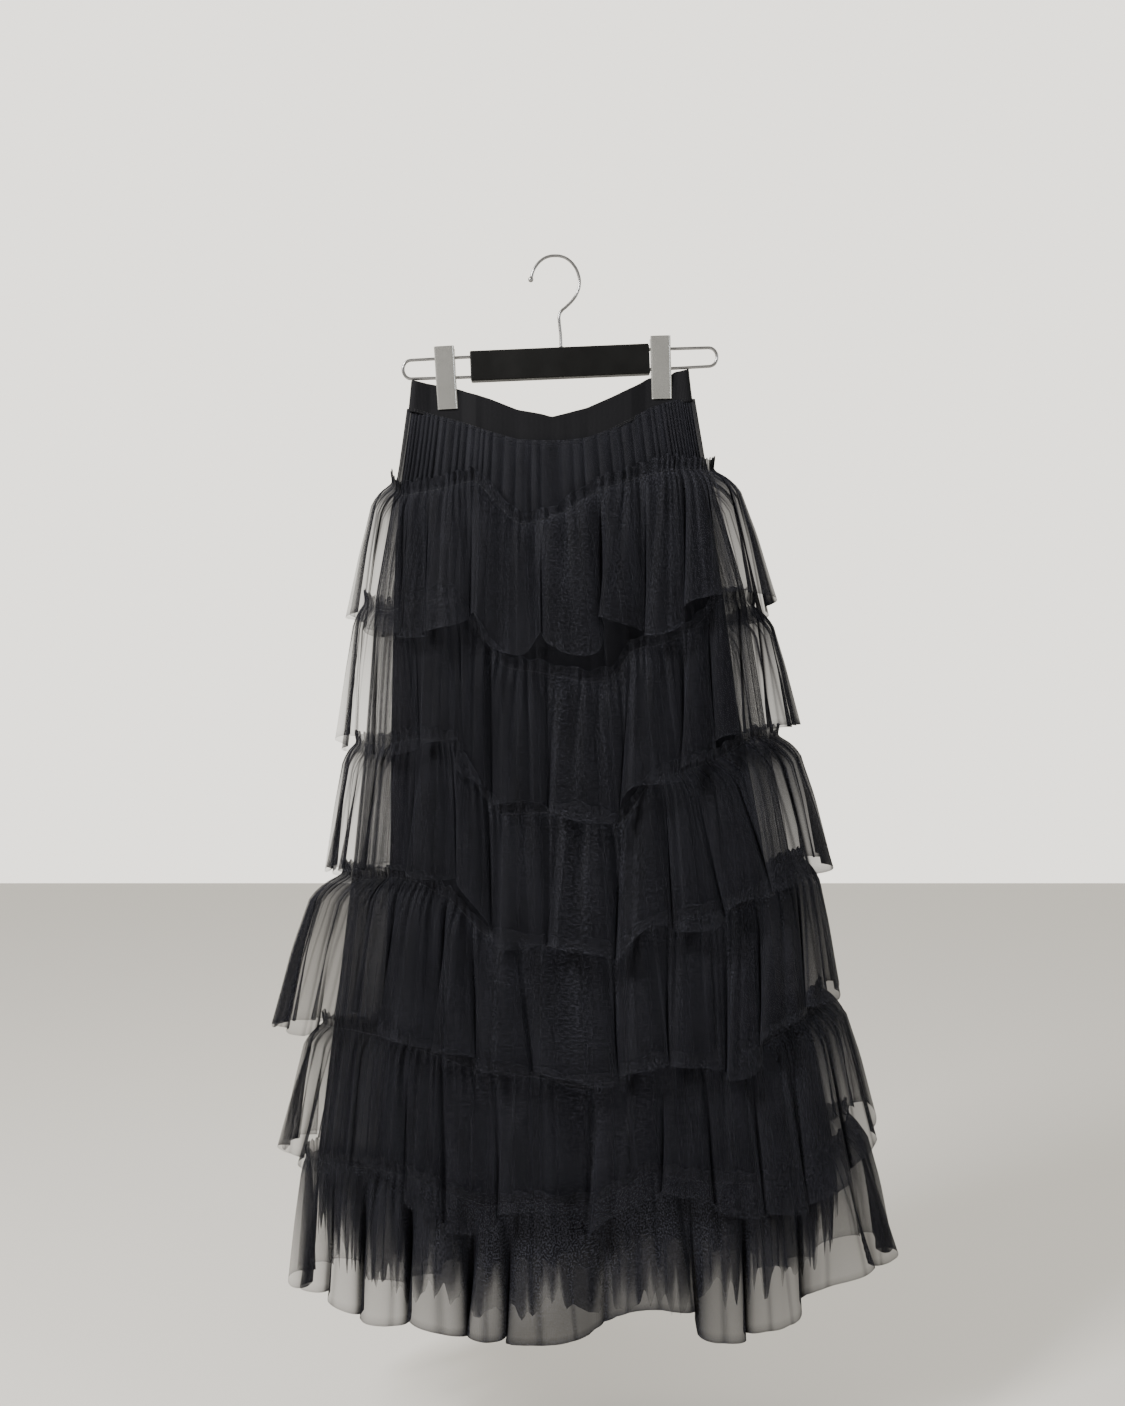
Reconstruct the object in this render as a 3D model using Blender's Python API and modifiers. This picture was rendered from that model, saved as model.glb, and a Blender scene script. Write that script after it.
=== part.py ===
"""Black tiered tulle maxi skirt with an elastic waistband, hung by two clips on a trouser hanger.

Metres, +Z up. The front of the skirt faces -Y, and its back, on +Y, hangs flatter. The origin is
the inside top of the hanger's hook. Tables are in millimetres.
"""

import math

import bpy
import bmesh
import numpy as np
from mathutils import Matrix, Vector

MM = 0.001

# Cloth walls and the space left between the front and back halves at each side seam
NET_WALL = 1.2
LINING_WALL = 1.2
BAND_WALL = 1.5
SIDE_GAP = 0.55

# How much lower than at the sides the hems of the two inner layers hang in the middle
HEM_DIP = {"tulle": 70, "lining": 25}

# How full the half-round plan of every cloth layer is (2 is an ellipse, more is squarer), and
# the usual half width, which sets how its normals turn
PLAN_POWER = 2.6
HALF_WIDTH = 190

# The body of the skirt: height, left edge, right edge, depth in front, depth behind
BODY = [
    (-120, -143, 131, 6.6, 6.6),
    (-165, -149, 139, 6.6, 6.6),
    (-223, -157, 149, 16, 10),
    (-345, -179, 187, 36, 14),
    (-485, -189, 210, 54, 16),
    (-615, -202, 234, 66, 18),
    (-760, -220, 252, 76, 20),
    (-893, -237, 278, 84, 22),
    (-925, -238, 280, 85, 22),
]

# The opaque lining: the same columns
LINING = [
    (-120, -140, 128, 2.8, 2.8),
    (-165, -144, 134, 2.8, 2.8),
    (-223, -152, 144, 9, 4.0),
    (-290, -160, 157, 19, 7),
    (-345, -162, 166, 27, 8),
    (-463, -164, 181, 42, 9.5),
    (-593, -165, 206, 54, 11),
    (-760, -172, 222, 62, 12.5),
    (-905, -180, 236, 68, 13.5),
]

# The waistband: x, top edge, lower edge. It sags between the two clips.
BAND = [
    (-144, -124, -155),
    (-121, -129, -162),
    (-98, -133, -168),
    (-66, -143, -179),
    (-38, -154, -187),
    (-15, -158, -188),
    (-4, -161, -188),
    (8, -158, -188),
    (31, -152, -185),
    (54, -142, -177),
    (77, -131, -165),
    (93, -122, -155),
    (114, -120, -148),
    (118, -116, -147),
    (132, -113, -145),
]

# Where the clips grip the band, and how far each half of the band lies from the middle plane.
# Front and back are each built in two lengths, so that collision stays out of the waist's mouth.
CLIP_GRIPS = (-109.5, 105.0)
BAND_PINCHED = 1.9
BAND_OPEN = 5.6
GRIP_HALF = 11.0
GRIP_FADE = 11.0
BAND_SPLIT = -5.0
BAND_SPLIT_GAP = 0.35

# The eye from which the skirt is seen: x, height, and distance before the hanger's plane
EYE = (6.5, -446, 1350)

# The front ruffles, from the skirt's left edge as seen to its right edge: x and height on the
# seam, then x and height on the hem, as they look from the eye against the hanger's plane.
# Steep steps are where the wavy seam drops.
SEEN = {
    1: [
        (-163, -225, -202, -357), (-151, -240, -162, -380), (-116, -233, -121, -373),
        (-78, -223, -74, -354), (-58, -248, -66, -393), (-36, -269, -41, -404),
        (-11, -263, -20, -369), (14, -251, 18, -394), (39, -235, 36, -393),
        (58, -228, 55, -357), (84, -221, 82, -380), (109, -214, 104, -384),
        (130, -213, 134, -347), (150, -214, 168, -331), (157, -213, 208, -351),
    ],
    2: [
        (-190, -345, -210, -480), (-164, -355, -163, -497), (-136, -346, -131, -482),
        (-101, -340, -99, -476), (-71, -383, -78, -518), (-51, -411, -57, -552),
        (-16, -415, -16, -551), (28, -426, 29, -565), (56, -423, 58, -567),
        (74, -393, 76, -528), (104, -388, 108, -524), (134, -375, 134, -511),
        (161, -343, 161, -478), (186, -343, 194, -475), (197, -355, 233, -470),
    ],
    3: [
        (-198, -485, -222, -605), (-168, -488, -179, -611), (-136, -481, -138, -614),
        (-101, -485, -94, -621), (-76, -533, -78, -668), (-56, -558, -51, -696),
        (-11, -555, -11, -686), (34, -558, 32, -693), (66, -571, 72, -713),
        (89, -528, 80, -669), (109, -519, 120, -671), (134, -511, 168, -661),
        (156, -503, 208, -640), (189, -481, 236, -611), (220, -478, 262, -595),
    ],
    4: [
        (-211, -615, -273, -763), (-184, -621, -226, -773), (-156, -619, -180, -747),
        (-136, -623, -148, -777), (-101, -643, -106, -795), (-71, -678, -64, -806),
        (-16, -688, -15, -814), (29, -693, 24, -834), (62, -695, 60, -826),
        (94, -668, 96, -811), (144, -658, 146, -813), (184, -648, 188, -811),
        (209, -628, 220, -773), (229, -605, 246, -746), (244, -599, 275, -727),
    ],
    5: [
        (-230, -763, -263, -878), (-198, -769, -222, -898), (-161, -778, -176, -901),
        (-138, -788, -144, -933), (-111, -799, -111, -960), (-86, -809, -73, -968),
        (-36, -818, -36, -955), (-4, -821, -4, -954), (26, -833, 23, -990),
        (59, -823, 59, -963), (94, -803, 94, -930), (139, -805, 141, -943),
        (184, -793, 192, -949), (229, -768, 246, -948), (262, -728, 308, -841),
    ],
    6: [
        (-247, -895, -251, -1010), (-211, -901, -214, -1020), (-171, -908, -176, -1046),
        (-136, -918, -136, -1051), (-106, -933, -106, -1066), (-66, -948, -64, -1090),
        (-26, -943, -24, -1084), (19, -948, 19, -1081), (56, -938, 58, -1076),
        (89, -913, 92, -1045), (134, -921, 139, -1065), (179, -923, 182, -1071),
        (219, -918, 224, -1051), (256, -893, 266, -1015), (288, -851, 322, -975),
    ],
}

# Ruffle waves in each half of a tier, and how far the hidden back half's seam dips and waves
WAVES = {1: 8, 2: 9, 3: 9, 4: 10, 5: 10, 6: 11}
BACK_DIP = 30
BACK_WAVE = 13

# Rows of a ruffle: share of the seam-to-hem length, share of its own spread from seam to hem,
# then how far it stands off the body and how high its waves are, in front and behind
RUFFLE_ROWS = [
    (-0.085, 0.0, 9.0, 2.0, 9.0, 1.8),
    (0.0, 0.0, 5.1, 0.8, 4.9, 0.7),
    (0.15, 0.50, 13.5, 3.4, 12.0, 2.8),
    (0.50, 0.72, 21.0, 5.5, 18.0, 4.2),
    (1.0, 1.0, 34.0, 8.0, 28.0, 6.0),
]

# The first ruffle's seam lies closer, where the body's gathers are still low
FIRST_TIER_CLOSER = 0.6

BODY_WAVES = 13
BODY_WAVE_TOP = 1.0
BODY_WAVE_LOW = 2.6

# The hanger, drawn level round its middle and then tilted as it hangs
TILT = math.radians(2.4)
MIDDLE = (4.0, -106.3)
BAR_SIZE = (179.0, 12.0, 30.0)
RAIL_LENGTH = 314.0
RAIL_HEIGHT = 18.6
RAIL_R = 1.3
RAIL_BORE_R = 1.65
HOOK_R = 1.25
STEM_BORE_R = 1.6
BALL_R = 2.7

# The hook's centre line: x, height, before the bar
HOOK_LINE = [
    (-25, -22), (-25, -18), (-23.5, -11), (-20, -5.6), (-14.5, -1.2), (-8, 1.1), (-1, 1.3),
    (6.5, 0.1), (13, -3.4), (18.5, -9), (22.2, -16.2), (23.4, -24.5), (22, -33), (17.6, -41),
    (11, -47.6), (5.5, -52.6), (3.2, -58.5), (3.6, -66), (4.6, -76), (5.0, -94.6),
]

# Each clip: middle of its top edge in x and height, lean
CLIPS = {"left": (-111.6, -91.0, 3.4), "right": (103.9, -80.6, 1.6)}
CLIP_WIDTH = 18.4
CLIP_WALL = 1.0
SPRING_R = 2.05
SPRING_DOWN = 34.6

# A clip plate from its top: distance down, distance of its face from the middle plane, flange
CLIP_ROWS = [
    (0.0, 8.6, 1.6),
    (8.0, 7.6, 3.4),
    (22.0, 6.9, 3.6),
    (35.5, 6.3, 3.4),
    (39.5, 6.2, 2.0),
    (52.0, 5.0, 0.8),
    (62.0, 4.5, 0.6),
]

MATERIALS = {
    "chrome": ((0.78, 0.79, 0.80), 0.12, 1.0),
    "bar_plastic": ((0.020, 0.020, 0.022), 0.42, 0.0),
    "elastic": ((0.014, 0.014, 0.016), 0.80, 0.0),
    "lining": ((0.010, 0.010, 0.012), 0.62, 0.0),
    "tulle": ((0.020, 0.020, 0.023), 0.75, 0.0),
}


def clear_scene():
    for thing in list(bpy.data.objects):
        bpy.data.objects.remove(thing, do_unlink=True)
    for group in list(bpy.data.collections):
        bpy.data.collections.remove(group)


def make_collections():
    part = bpy.data.collections.new("tulle_maxi_skirt")
    cutters = bpy.data.collections.new("cutters")
    for group in (part, cutters):
        bpy.context.scene.collection.children.link(group)
    cutters.hide_render = True
    return part, cutters


def make_material(name):
    colour, rough, metal = MATERIALS[name]
    mat = bpy.data.materials.get(name) or bpy.data.materials.new(name)
    mat.use_nodes = True
    shader = mat.node_tree.nodes["Principled BSDF"]
    shader.inputs["Base Color"].default_value = (*colour, 1.0)
    shader.inputs["Roughness"].default_value = rough
    shader.inputs["Metallic"].default_value = metal
    return mat


def add_part(name, mesh, group, material):
    thing = bpy.data.objects.new(name, mesh)
    group.objects.link(thing)
    if material:
        mesh.materials.append(make_material(material))
    return thing


def column(table, at, k):
    """Column k of a table whose first column rises or falls, read at `at`."""
    keys = np.array([row[0] for row in table], float)
    values = np.array([row[k] for row in table], float)
    if keys[0] > keys[-1]:
        keys, values = keys[::-1], values[::-1]
    return np.interp(at, keys, values)


def depth_at(table, z, front):
    return column(table, z, 3 if front else 4)


def plan_bow(u):
    """Share of its full depth that the half-round plan has at u from -1 to 1."""
    return max(0.0, 1.0 - abs(u) ** PLAN_POWER) ** (1.0 / PLAN_POWER)


def plan_point(u, x, depth, out, front):
    """A point of a half-round plan at u, moved out along the plan's normal."""
    side = -1.0 if front else 1.0
    bow = plan_bow(u)
    nx, ny = u * depth, side * bow * HALF_WIDTH
    size = math.hypot(nx, ny) or 1.0
    return x + out * nx / size, side * (depth * bow + SIDE_GAP) + out * ny / size


def cloth_from_rows(name, rows, wall, group, material):
    """A closed thin wall on a grid of points, by Solidify half to each side."""
    shell = bmesh.new()
    grid = [[shell.verts.new(Vector(p) * MM) for p in row] for row in rows]
    for upper, lower in zip(grid, grid[1:]):
        for k in range(len(upper) - 1):
            shell.faces.new((upper[k], lower[k], lower[k + 1], upper[k + 1]))
    bmesh.ops.recalc_face_normals(shell, faces=shell.faces)
    for face in shell.faces:
        face.smooth = True
    mesh = bpy.data.meshes.new(name)
    shell.to_mesh(mesh)
    shell.free()
    thing = add_part(name, mesh, group, material)
    thick = thing.modifiers.new("wall", "SOLIDIFY")
    thick.thickness = wall * MM
    thick.offset = 0.0
    return thing


def fade_ends(s, reach):
    return min(1.0, s / reach, (1.0 - s) / reach)


def band_depth(x, share):
    """How far the band lies from the middle plane: least where a clip grips it."""
    away = min(abs(x - grip) for grip in CLIP_GRIPS) - GRIP_HALF
    hold = min(1.0, max(0.0, 1.0 - away / GRIP_FADE)) * (1.0 if share < 0.9 else 0.8)
    at_end = x in (BAND[0][0], BAND[-1][0])
    return BAND_PINCHED if at_end else BAND_OPEN * (1 - hold) + BAND_PINCHED * hold


def make_band(half, group):
    side = -1.0 if half == "front" else 1.0
    lengths = {
        "left": (BAND[0][0], BAND_SPLIT - BAND_SPLIT_GAP / 2),
        "right": (BAND_SPLIT + BAND_SPLIT_GAP / 2, BAND[-1][0]),
    }
    for end, (start, stop) in lengths.items():
        xs = np.linspace(start, stop, 17)
        rows = []
        for share in (0.0, 0.4, 0.82, 1.0):
            heights = column(BAND, xs, 1) * (1 - share) + column(BAND, xs, 2) * share
            rows.append([(x, side * band_depth(x, share), z) for x, z in zip(xs, heights)])
        cloth_from_rows(f"waistband_{half}_{end}", rows, BAND_WALL, group, "elastic")


def make_tube_half(name, table, half, drop, waves, wave_top, wave_low, columns, group, look):
    """Half of the lining or the gathered tulle base, from under the waistband down."""
    front = half == "front"
    heights = [row[0] for row in table[1:]]
    top_line = np.array([row[2] for row in BAND], float) - 1.0
    rows = []
    for k, height in enumerate(heights):
        share = 1.0 if k == 0 else max(0.0, 0.75 - 0.16 * k)
        dip = HEM_DIP[look] if k == len(heights) - 1 else 0.0
        row = []
        for j in range(columns + 1):
            s = j / columns
            left, right = column(table, height, 1), column(table, height, 2)
            u = -math.cos(math.pi * (0.5 * s + 0.5 * (0.5 - 0.5 * math.cos(math.pi * s))))
            u = max(-1.0, min(1.0, u))
            x = (left + right) / 2 + u * (right - left) / 2
            sag = np.interp(x, [row[0] for row in BAND], top_line) + 165
            z = height + sag * share - dip * plan_bow(u) - (drop if k == 0 else 0.0)
            wave = wave_top + (wave_low - wave_top) * min(1.0, 0.7 * k)
            out = wave * math.cos(2 * math.pi * waves * s) * fade_ends(s, 0.12) if waves else 0.0
            x, y = plan_point(u, x, depth_at(table, z, front), out, front)
            row.append((x, y, z))
        rows.append(row)
    wall = NET_WALL if look == "tulle" else LINING_WALL
    return cloth_from_rows(name, rows, wall, group, look)


def bring_forward(table, c, off):
    """Moves columns c and c + 1, x and height as seen, to where a line nearer the eye has them."""
    x_seen, z_seen = table[:, c].copy(), table[:, c + 1].copy()
    u = (x_seen - x_seen[0]) / (x_seen[-1] - x_seen[0]) * 2 - 1
    bow = np.sqrt(np.clip(1 - u * u, 0, 1))
    for _ in range(6):
        near = 1 - (depth_at(BODY, table[:, c + 1], True) + off) * bow / EYE[2]
        table[:, c] = EYE[0] + (x_seen - EYE[0]) * near
        table[:, c + 1] = EYE[1] + (z_seen - EYE[1]) * near


def ruffle_lines(tier, half, columns):
    """Seam and hem points of a ruffle at equal steps along its hem, smoothed a little."""
    table = np.array(SEEN[tier], float)
    bring_forward(table, 0, RUFFLE_ROWS[1][2])
    bring_forward(table, 2, RUFFLE_ROWS[-1][2])
    if half == "back":
        share = np.linspace(0.0, 1.0, len(table))
        dip = -BACK_DIP * np.sin(math.pi * share)
        wave = BACK_WAVE * np.sin(math.pi * (5 * share + tier)) * np.sin(math.pi * share)
        for c in (0, 2):
            ends = table[[0, -1], c]
            table[:, c] = ends[0] + (ends[1] - ends[0]) * share
        for c in (1, 3):
            ends = table[[0, -1], c]
            table[:, c] = ends[0] + (ends[1] - ends[0]) * share + dip + wave
    span = table[-1, 2] - table[0, 2]
    u = np.clip((table[:, 2] - table[0, 2]) / span * 2 - 1, -1, 1)
    depth = depth_at(BODY, table[:, 3], half == "front") + 30
    flat = np.stack([table[:, 2], -depth * np.sqrt(1 - u * u)], 1)
    run = np.concatenate([[0], np.cumsum(np.hypot(*np.diff(flat, axis=0).T))])
    fine = np.linspace(0, run[-1], 301)
    lines = [np.interp(fine, run, table[:, c]) for c in range(4)]
    window = np.hanning(19)
    window /= window.sum()
    smooth = []
    for line in lines:
        ends = np.concatenate([2 * line[0] - line[9:0:-1], line, 2 * line[-1] - line[-2:-11:-1]])
        smooth.append(np.convolve(ends, window, "valid"))
    picks = np.round(np.linspace(0, 300, columns + 1)).astype(int)
    return np.stack(smooth, 1)[picks]


def make_ruffle(tier, half, group):
    front = half == "front"
    waves = WAVES[tier]
    columns = waves * 4
    lines = ruffle_lines(tier, half, columns)
    rows = []
    for down, spread, off_f, wave_f, off_b, wave_b in RUFFLE_ROWS:
        off, wave = (off_f, wave_f) if front else (off_b, wave_b)
        xs = lines[:, 0] * (1 - spread) + lines[:, 2] * spread
        row = []
        for j in range(columns + 1):
            s = j / columns
            x = xs[j]
            z = lines[j, 1] * (1 - down) + lines[j, 3] * down
            u = max(-1.0, min(1.0, (x - xs[0]) / (xs[-1] - xs[0]) * 2 - 1))
            lean = 0.22 * math.sin(5.0 * s + 1.7 * tier)
            closer = FIRST_TIER_CLOSER if tier == 1 and down <= 0 else 0.0
            out = (off - closer) * fade_ends(s, 0.03)
            out += wave * math.cos(2 * math.pi * (waves * s + lean)) * fade_ends(s, 0.10)
            x, y = plan_point(u, x, depth_at(BODY, z, front), out, front)
            row.append((x, y, z))
        rows.append(row)
    return cloth_from_rows(f"tier{tier}_{half}", rows, NET_WALL, group, "tulle")


def hanger_place():
    """Where the level hanger goes: tilted a little, its middle below the hook."""
    move = Matrix.Translation(Vector((MIDDLE[0], 0.0, MIDDLE[1])) * MM)
    return move @ Matrix.Rotation(-TILT, 4, "Y")


def wire_mesh(name, points, radius, group, closed=False):
    curve = bpy.data.curves.new(name, "CURVE")
    curve.dimensions = "3D"
    curve.bevel_depth = radius * MM
    curve.bevel_resolution = 1
    curve.use_fill_caps = not closed
    spline = curve.splines.new("POLY")
    spline.points.add(len(points) - 1)
    for point, place in zip(spline.points, points):
        point.co = (*(Vector(place) * MM), 1.0)
    spline.use_cyclic_u = closed
    holder = bpy.data.objects.new(name, curve)
    group.objects.link(holder)
    bpy.context.view_layer.update()
    mesh = bpy.data.meshes.new_from_object(holder)
    bpy.data.objects.remove(holder, do_unlink=True)
    bpy.data.curves.remove(curve)
    body = bmesh.new()
    body.from_mesh(mesh)
    bmesh.ops.remove_doubles(body, verts=body.verts, dist=0.00002)
    bmesh.ops.recalc_face_normals(body, faces=body.faces)
    for face in body.faces:
        face.smooth = len(face.verts) == 4
    body.to_mesh(mesh)
    body.free()
    mesh.name = name
    mesh.materials.clear()
    return mesh


def round_cutter(name, radius, length, place, group):
    body = bmesh.new()
    bmesh.ops.create_cone(
        body, cap_ends=True, segments=20, radius1=radius * MM, radius2=radius * MM,
        depth=length * MM, matrix=place,
    )
    mesh = bpy.data.meshes.new(name)
    body.to_mesh(mesh)
    body.free()
    cutter = add_part(name, mesh, group, None)
    cutter.display_type = "WIRE"
    cutter.hide_render = True
    return cutter


def cut(thing, cutter):
    boolean = thing.modifiers.new(cutter.name, "BOOLEAN")
    boolean.operation = "DIFFERENCE"
    boolean.solver = "EXACT"
    boolean.object = cutter


def make_bar(part, cutters):
    body = bmesh.new()
    size = [value * MM for value in BAR_SIZE]
    bmesh.ops.create_cube(body, size=1.0, matrix=Matrix.Diagonal((*size, 1.0)))
    bmesh.ops.bevel(
        body, geom=list(body.edges), offset=1.4 * MM, segments=2, affect="EDGES", profile=0.5
    )
    for face in body.faces:
        face.smooth = face.calc_area() < 0.0002
    mesh = bpy.data.meshes.new("hanger_bar")
    body.to_mesh(mesh)
    body.free()
    mesh.transform(hanger_place())
    bar = add_part("hanger_bar", mesh, part, "bar_plastic")
    turn = Matrix.Rotation(math.radians(90), 4, "Y")
    for label, level in (("upper", 0.5), ("lower", -0.5)):
        up = Matrix.Translation((0.0, 0.0, level * RAIL_HEIGHT * MM))
        place = hanger_place() @ up @ turn
        cutter = round_cutter(
            f"rail_bore_{label}", RAIL_BORE_R, BAR_SIZE[0] + 20, place, cutters
        )
        cut(bar, cutter)
    foot = HOOK_LINE[-1]
    place = Matrix.Translation(Vector((foot[0], 0.0, foot[1] + 4.6)) * MM)
    cut(bar, round_cutter("stem_bore", STEM_BORE_R, 10.0, place, cutters))
    return bar


def make_rail(part):
    """The closed wire loop that the bar and both clips ride on."""
    r = 4.0
    half_l, half_h = RAIL_LENGTH / 2, RAIL_HEIGHT / 2
    points = []
    corners = ((1, 1, 90), (1, -1, 0), (-1, -1, -90), (-1, 1, -180))
    for sx, sz, start in corners:
        for step in range(4):
            angle = math.radians(start - 30 * step)
            x = sx * (half_l - r) + r * math.cos(angle)
            z = sz * (half_h - r) + r * math.sin(angle)
            points.append((x, 0.0, z))
    mesh = wire_mesh("rail_wire", points, RAIL_R, part, closed=True)
    mesh.transform(hanger_place())
    return add_part("rail_wire", mesh, part, "chrome")


def make_hook(part):
    """The wire hook, its foot set in the bar and a ball just off its tip."""
    points = [(x, 0.0, z) for x, z in HOOK_LINE]
    mesh = wire_mesh("hook_wire", points, HOOK_R, part)
    add_part("hook_wire", mesh, part, "chrome")
    body = bmesh.new()
    tip = HOOK_LINE[0]
    place = Matrix.Translation(Vector((tip[0], 0.0, tip[1] - BALL_R - 0.3)) * MM)
    bmesh.ops.create_uvsphere(
        body, u_segments=14, v_segments=8, radius=BALL_R * MM, matrix=place
    )
    for face in body.faces:
        face.smooth = True
    ball = bpy.data.meshes.new("hook_ball")
    body.to_mesh(ball)
    body.free()
    return add_part("hook_ball", ball, part, "chrome")


def clip_place(side):
    x, z, lean = CLIPS[side]
    move = Matrix.Translation(Vector((x, 0.0, z)) * MM)
    return move @ Matrix.Rotation(-math.radians(lean), 4, "Y")


def make_clip_plate(side, half, part):
    """A pressed plate with bent side flanges: rows of its channel section, then Solidify."""
    sign = -1.0 if half == "front" else 1.0
    hw = CLIP_WIDTH / 2 - CLIP_WALL / 2
    body = bmesh.new()
    grid = []
    for down, face_y, flange in CLIP_ROWS:
        y = face_y - CLIP_WALL / 2
        profile = [(-hw, y - flange), (-hw, y), (-hw * 0.4, y + 0.3), (hw * 0.4, y + 0.3),
                   (hw, y), (hw, y - flange)]
        grid.append([
            body.verts.new(Vector((px, sign * py, -down)) * MM) for px, py in profile
        ])
    for upper, lower in zip(grid, grid[1:]):
        for k in range(len(upper) - 1):
            body.faces.new((upper[k], lower[k], lower[k + 1], upper[k + 1]))
    bmesh.ops.recalc_face_normals(body, faces=body.faces)
    mesh = bpy.data.meshes.new(f"clip_{side}_{half}")
    body.to_mesh(mesh)
    body.free()
    mesh.transform(clip_place(side))
    plate = add_part(f"clip_{side}_{half}", mesh, part, "chrome")
    thick = plate.modifiers.new("sheet", "SOLIDIFY")
    thick.thickness = CLIP_WALL * MM
    thick.offset = 0.0
    thick.use_even_offset = True
    return plate


def make_clip_spring(side, part):
    """The round spring barrel between a clip's two plates, under the rail, on their flanges."""
    body = bmesh.new()
    turn = Matrix.Rotation(math.radians(90), 4, "Y")
    down = Matrix.Translation((0.0, 0.0, -SPRING_DOWN * MM))
    bmesh.ops.create_cone(
        body, cap_ends=True, segments=16, radius1=SPRING_R * MM, radius2=SPRING_R * MM,
        depth=CLIP_WIDTH * MM, matrix=clip_place(side) @ down @ turn,
    )
    for face in body.faces:
        face.smooth = len(face.verts) == 4
    mesh = bpy.data.meshes.new(f"clip_{side}_spring")
    body.to_mesh(mesh)
    body.free()
    return add_part(f"clip_{side}_spring", mesh, part, "chrome")


def main():
    clear_scene()
    part, cutters = make_collections()
    make_bar(part, cutters)
    make_rail(part)
    make_hook(part)
    for side in CLIPS:
        for half in ("front", "back"):
            make_clip_plate(side, half, part)
        make_clip_spring(side, part)
    for half in ("front", "back"):
        make_band(half, part)
        make_tube_half(f"lining_{half}", LINING, half, 0.4, 0, 0, 0, 20, part, "lining")
        make_tube_half(
            f"tulle_base_{half}", BODY, half, 0.0, BODY_WAVES, BODY_WAVE_TOP, BODY_WAVE_LOW,
            BODY_WAVES * 4, part, "tulle",
        )
        for tier in SEEN:
            make_ruffle(tier, half, part)


main()
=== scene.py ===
# %% [markdown]
# # A black tulle skirt with six ruffles, hung on a clip hanger
# This lesson dresses the plain solids of the skirt and its hanger as real cloth, net and metal.
# The cloth is worked out with numpy as grids of points, because gathers and folds follow rules:
# how many waves there are, how high they stand, and how they run into each other further down.
# We first load the fixed frame, which holds the solids that the finished pieces stand for, and
# write four small tools that every later cell can use.

# %% Load the frame
import math
from collections import namedtuple

import bmesh
import bpy
import numpy as np
from mathutils import Matrix, Vector


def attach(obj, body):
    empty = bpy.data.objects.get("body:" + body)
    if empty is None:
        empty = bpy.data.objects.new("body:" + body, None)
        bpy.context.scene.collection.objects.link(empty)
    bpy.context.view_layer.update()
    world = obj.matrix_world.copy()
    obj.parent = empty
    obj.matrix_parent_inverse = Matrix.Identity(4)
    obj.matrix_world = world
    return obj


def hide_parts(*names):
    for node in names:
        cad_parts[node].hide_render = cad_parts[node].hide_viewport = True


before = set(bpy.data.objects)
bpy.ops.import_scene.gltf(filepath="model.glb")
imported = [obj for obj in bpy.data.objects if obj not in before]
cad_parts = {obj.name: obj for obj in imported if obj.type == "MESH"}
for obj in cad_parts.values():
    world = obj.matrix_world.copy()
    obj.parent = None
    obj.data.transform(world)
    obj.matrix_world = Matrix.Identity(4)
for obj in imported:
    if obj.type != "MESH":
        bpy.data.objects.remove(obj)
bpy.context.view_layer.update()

MM = 0.001
scene = bpy.context.scene


def add_object(name, data):
    """Puts a mesh, curve, lamp or camera into the scene as an object."""
    thing = bpy.data.objects.new(name, data)
    scene.collection.objects.link(thing)
    return thing


def mesh_of(body, name):
    """Turns a finished bmesh into a mesh and frees it."""
    mesh = bpy.data.meshes.new(name)
    body.to_mesh(mesh)
    body.free()
    return mesh


def finished_mesh(holder, name):
    """The mesh of an object with its modifiers applied; the object is removed."""
    bpy.context.view_layer.update()
    graph = bpy.context.evaluated_depsgraph_get()
    done = bpy.data.meshes.new_from_object(holder.evaluated_get(graph))
    bpy.data.objects.remove(holder, do_unlink=True)
    done.name = name
    return done


def soften_edges(thing, width, angle):
    """Rounds the edges of an object that are sharper than `angle` degrees."""
    soft = thing.modifiers.new("soft_edge", "BEVEL")
    soft.width = width * MM
    soft.segments = 2
    soft.limit_method = "ANGLE"
    soft.angle_limit = math.radians(angle)


print("nodes in the frame:", len(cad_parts))

# %% [markdown]
# ## The view
# The skirt was seen from straight in front, with the eye level with its second ruffle and
# 1.35 m away. A lens 34.6 mm long on a frame 36 mm high shows 1.406 m there, so one step of the
# picture is one millimetre in the hanger's plane. EYE says how far to the right, how high and
# how far away that eye is, in millimetres. It is used again below: lines that were read off the
# front of the skirt bulge towards the eye, and look larger than they are.

# %% Camera
EYE = (6.5, -446.0, 1350.0)
VIEW_HEIGHT = 1406.0
FRAME_HEIGHT = 36.0

lens = bpy.data.cameras.new("view")
lens.sensor_width = FRAME_HEIGHT
lens.lens = FRAME_HEIGHT * EYE[2] / VIEW_HEIGHT
lens.clip_start = 0.05
camera = add_object("view", lens)
camera.location = (EYE[0] * MM, -EYE[2] * MM, EYE[1] * MM)
camera.rotation_euler = (math.radians(90), 0.0, 0.0)
scene.camera = camera
print("lens", round(lens.lens, 2), "mm")

# %% [markdown]
# ## A pale studio
# Net shows what is behind it, so the light behind the skirt matters as much as the light on it.
# A pale world glows brightly behind the skirt and more softly in front of it, and a pale floor
# lies under the hem. Because less light comes evenly from the front, two soft lamps there can
# draw the folds: a strong one high on the left, and a weaker one on the right.

# %% Floor, world and lamps
FLOOR_DROP, FLOOR_HALF, FLOOR_ROUGH = 1.16, 4.0, 0.9
FLOOR_COLOUR = (0.64, 0.625, 0.595)
ROOM_COLOUR = (0.94, 0.90, 0.82)
SOFT_IN_FRONT, BRIGHT_BEHIND = 0.29, 2.4
FRONT_UP_TO, BEHIND_FROM = -0.45, 0.75


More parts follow.
